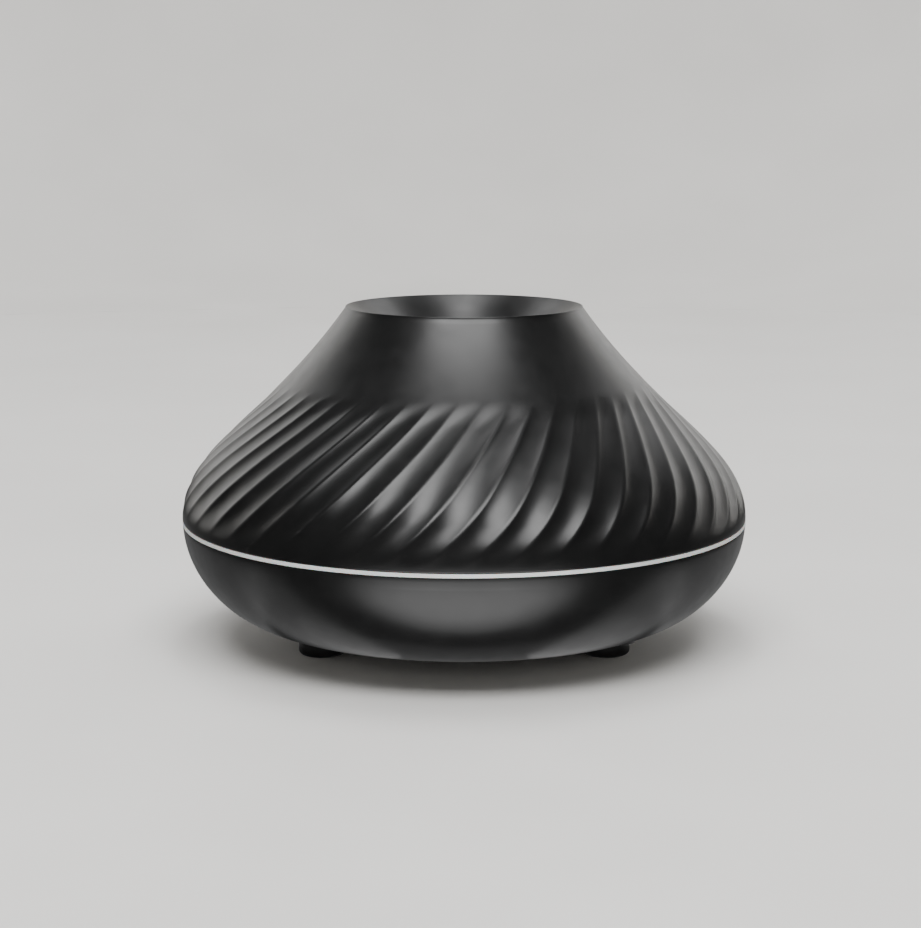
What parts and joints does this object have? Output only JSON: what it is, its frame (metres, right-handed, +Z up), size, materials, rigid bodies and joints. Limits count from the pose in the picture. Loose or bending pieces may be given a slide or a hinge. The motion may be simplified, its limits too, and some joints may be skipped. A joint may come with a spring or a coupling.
{
  "type": "ultrasonic essential oil diffuser",
  "caption": "Squat, waisted ultrasonic oil diffuser: a lift-off lid with slanting flutes and a crater outlet over a round water tank, fan and base with a pale light ring.",
  "frame": {"origin": "centre of the base on the surface it stands on", "axes": "+Z up through the mist outlet; the front faces -Y and the power inlet and buttons are at the back, +Y"},
  "size_m": [0.1663, 0.1663, 0.0986],
  "materials": {
    "satin_black": "satin moulded plastic",
    "inner_plastic": "satin moulded plastic",
    "frosted_ring": "frosted translucent plastic",
    "rubber_feet": "matte",
    "silicone": "translucent white silicone",
    "screw_steel": "zinc plated",
    "disc_brass": "satin",
    "board_green": "satin solder mask",
    "component_black": "satin",
    "copper_winding": "enamelled copper wire",
    "led_lens": "clear lens",
    "foam_grey": "open-cell foam",
    "lead_red": "soft insulation"
  },
  "bodies": {
    "base": {"base_bowl": "satin_black", "bottom_cover": "satin_black", "water_tank": "inner_plastic", "light_ring": "frosted_ring", "foot_front_left": "rubber_feet", "foot_front_right": "rubber_feet", "foot_rear": "rubber_feet", "tank_seal": "silicone", "atomiser_seal": "silicone", "case_screw_1": "screw_steel", "case_screw_2": "screw_steel", "case_screw_3": "screw_steel", "cover_screw_1": "screw_steel", "cover_screw_2": "screw_steel", "cover_screw_3": "screw_steel", "retainer_screw_1": "screw_steel", "retainer_screw_2": "screw_steel", "retainer_screw_3": "screw_steel", "fan_screw_1": "screw_steel", "fan_screw_2": "screw_steel", "dc_inlet_pin": "screw_steel", "capacitor": "screw_steel", "atomiser_disc": "disc_brass", "main_board": "board_green", "led_board": "board_green", "switch_board": "board_green", "control_chip": "component_black", "driver_transistor": "component_black", "fan_frame": "component_black", "dc_inlet": "component_black", "mist_switch": "component_black", "light_switch": "component_black", "atomiser_retainer": "component_black", "driver_coil": "copper_winding", "led_1": "led_lens", "led_2": "led_lens", "led_3": "led_lens", "led_4": "led_lens", "led_5": "led_lens", "led_6": "led_lens", "fan_gasket": "foam_grey", "power_lead": "lead_red", "atomiser_lead": "lead_red", "fan_lead": "lead_red", "led_lead": "lead_red", "switch_lead": "lead_red"},
    "lid": {"top_cover": "satin_black", "mist_funnel": "satin_black", "mist_chimney": "inner_plastic", "splash_guard": "inner_plastic", "chimney_screw_1": "screw_steel", "chimney_screw_2": "screw_steel", "chimney_screw_3": "screw_steel"},
    "fan_rotor": {"fan_rotor": "component_black"},
    "mist_button": {"mist_button": "satin_black", "mist_plunger": "screw_steel"},
    "light_button": {"light_button": "satin_black", "light_plunger": "screw_steel"}
  },
  "joints": [
    {"name": "lid_lift", "type": "slide", "parent": "base", "child": "lid", "axis": [0, 0, 1], "range_m": [0, 0.12]},
    {"name": "fan_spin", "type": "hinge", "parent": "base", "child": "fan_rotor", "pos_m": [0, 0.022, 0.009], "axis": [0, 0, 1], "continuous": true},
    {"name": "mist_button_press", "type": "slide", "parent": "base", "child": "mist_button", "axis": [0, -1, 0], "range_m": [0, 0.0008], "stiffness_N_per_m": 1500, "springref_m": -0.0003},
    {"name": "light_button_press", "type": "slide", "parent": "base", "child": "light_button", "axis": [0, -1, 0], "range_m": [0, 0.0008], "stiffness_N_per_m": 1500, "springref_m": -0.0003}
  ]
}
